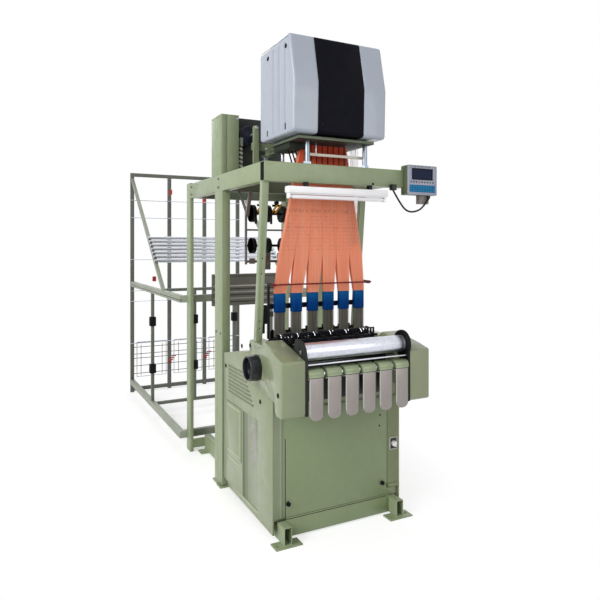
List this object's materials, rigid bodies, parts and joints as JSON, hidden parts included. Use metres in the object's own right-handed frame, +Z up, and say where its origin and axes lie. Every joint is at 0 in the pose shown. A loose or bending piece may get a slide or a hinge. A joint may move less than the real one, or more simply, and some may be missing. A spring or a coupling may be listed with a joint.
{
  "type": "power loom",
  "caption": "Narrow fabric power loom: green base with take-off roller and ribbon chutes, a cord harness below a patterning head on a gantry, and a yarn creel behind",
  "frame": {"origin": "on the floor, at the centre of the four outer bolt holes in the foot plates of the loom body", "axes": "+X to the right along the front of the loom, +Y from the operator's side to the creel, +Z up"},
  "size_m": [1.3929, 4.182, 3.0291],
  "materials": {
    "green_paint": "satin sage green paint",
    "black_plastic": "matt black moulding",
    "white_plastic": "glossy white",
    "zinc_steel": "bright plated steel",
    "polished_roller": "fine ground steel",
    "anodised_chute": "warm grey anodised sheet",
    "dark_steel": "blackened oily steel",
    "cord": "fine salmon orange harness cords",
    "blue_sleeve": "deep blue plastic",
    "grey_shell": "pale grey paint",
    "graphite_panel": "dark graphite paint",
    "conduit_plastic": "ribbed pale conduit",
    "box_grey": "light grey enamel",
    "black_rubber": "matt black sheath",
    "grey_steel": "worn grey steel"
  },
  "bodies": {
    "machine_frame": {"arm_cover_left": "green_paint", "arm_cover_right": "green_paint", "base_housing": "green_paint", "cable_fittings": "black_rubber", "column_left": "green_paint", "column_right": "green_paint", "conduit": "conduit_plastic", "control_box": "box_grey", "control_cable": "black_rubber", "creel_bars": "dark_steel", "creel_middle_frame": "green_paint", "creel_rails": "green_paint", "creel_rear_frame": "green_paint", "cross_beams": "green_paint", "drive_cabinet": "green_paint", "drive_motor": "dark_steel", "feeder_frame": "zinc_steel", "foot_rail_left": "green_paint", "foot_rail_right": "green_paint", "front_beam": "green_paint", "front_panel": "green_paint", "guide_rod": "zinc_steel", "harness": "cord", "heddle_bars": "dark_steel", "jacquard_base": "green_paint", "jacquard_centre_panel": "graphite_panel", "jacquard_cover_left": "grey_shell", "jacquard_cover_right": "grey_shell", "lamp": "white_plastic", "levelling_legs": "zinc_steel", "plate_rack": "grey_steel", "rear_support_left": "green_paint", "rear_support_right": "green_paint", "roller_bracket_left": "black_plastic", "roller_bracket_right": "black_plastic", "side_beam_left": "green_paint", "side_beam_right": "green_paint", "side_cover_left": "green_paint", "side_cover_right": "green_paint", "spring_sleeves": "blue_sleeve", "stay_left": "green_paint", "stay_right": "green_paint", "switch_strip": "green_paint", "weaving_bed": "dark_steel"},
    "hand_wheel": {"hand_knob": "black_plastic"},
    "roller": {"takeoff_roller": "polished_roller"},
    "sley": {"reed_sley": "zinc_steel"},
    "needles": {"weft_needles": "zinc_steel"},
    "switch": {"main_switch_knob": "white_plastic"},
    "latch_a": {"panel_latch_left": "zinc_steel"},
    "latch_b": {"panel_latch_right": "zinc_steel"},
    "lever": {"drive_lever": "green_paint"},
    "wheels_upper": {"feeder_wheels_upper": "black_plastic"},
    "wheels_lower": {"feeder_wheels_lower": "black_plastic"},
    "chute_1_flap": {"chute_1": "anodised_chute"},
    "chute_2_flap": {"chute_2": "anodised_chute"},
    "chute_3_flap": {"chute_3": "anodised_chute"},
    "chute_4_flap": {"chute_4": "anodised_chute"},
    "chute_5_flap": {"chute_5": "anodised_chute"},
    "chute_6_flap": {"chute_6": "anodised_chute"}
  },
  "joints": [
    {"name": "hand_wheel_turn", "type": "hinge", "parent": "machine_frame", "child": "hand_wheel", "pos_m": [-0.5, -0.247, 0.993], "axis": [1, 0, 0], "continuous": true},
    {"name": "roller_turn", "type": "hinge", "parent": "machine_frame", "child": "roller", "pos_m": [0, -0.58, 1.128], "axis": [1, 0, 0], "continuous": true},
    {"name": "chute_1_swing", "type": "hinge", "parent": "machine_frame", "child": "chute_1_flap", "pos_m": [-0.295, -0.628, 1.008], "axis": [1, 0, 0], "range_deg": [-50, 0]},
    {"name": "chute_2_swing", "type": "hinge", "parent": "machine_frame", "child": "chute_2_flap", "pos_m": [-0.177, -0.628, 1.008], "axis": [1, 0, 0], "range_deg": [-50, 0]},
    {"name": "chute_3_swing", "type": "hinge", "parent": "machine_frame", "child": "chute_3_flap", "pos_m": [-0.059, -0.628, 1.008], "axis": [1, 0, 0], "range_deg": [-50, 0]},
    {"name": "chute_4_swing", "type": "hinge", "parent": "machine_frame", "child": "chute_4_flap", "pos_m": [0.059, -0.628, 1.008], "axis": [1, 0, 0], "range_deg": [-50, 0]},
    {"name": "chute_5_swing", "type": "hinge", "parent": "machine_frame", "child": "chute_5_flap", "pos_m": [0.177, -0.628, 1.008], "axis": [1, 0, 0], "range_deg": [-50, 0]},
    {"name": "chute_6_swing", "type": "hinge", "parent": "machine_frame", "child": "chute_6_flap", "pos_m": [0.295, -0.628, 1.008], "axis": [1, 0, 0], "range_deg": [-50, 0]},
    {"name": "reed_rock", "type": "hinge", "parent": "machine_frame", "child": "sley", "pos_m": [0, -0.3, 1.12], "axis": [1, 0, 0], "range_deg": [-8, 8]},
    {"name": "needle_shift", "type": "slide", "parent": "machine_frame", "child": "needles", "axis": [1, 0, 0], "range_m": [0, 0.03]},
    {"name": "switch_turn", "type": "hinge", "parent": "machine_frame", "child": "switch", "pos_m": [0.405, -0.42, 0.448], "axis": [0, 1, 0], "range_deg": [0, 90]},
    {"name": "latch_a_turn", "type": "hinge", "parent": "machine_frame", "child": "latch_a", "pos_m": [-0.355, -0.412, 0.205], "axis": [0, 1, 0], "range_deg": [0, 90]},
    {"name": "latch_b_turn", "type": "hinge", "parent": "machine_frame", "child": "latch_b", "pos_m": [0.318, -0.412, 0.205], "axis": [0, 1, 0], "range_deg": [0, 90]},
    {"name": "lever_rock", "type": "hinge", "parent": "machine_frame", "child": "lever", "pos_m": [-0.209, 0.43, 2.3], "axis": [0, 1, 0], "range_deg": [-6, 6]},
    {"name": "feed_upper_turn", "type": "hinge", "parent": "machine_frame", "child": "wheels_upper", "pos_m": [0, 0.35, 1.962], "axis": [1, 0, 0], "continuous": true},
    {"name": "feed_lower_turn", "type": "hinge", "parent": "machine_frame", "child": "wheels_lower", "pos_m": [0, 0.35, 1.732], "axis": [1, 0, 0], "continuous": true}
  ],
  "couplings": [
    {"joint": "roller_turn", "follows": "hand_wheel_turn", "ratio": -0.02}
  ]
}
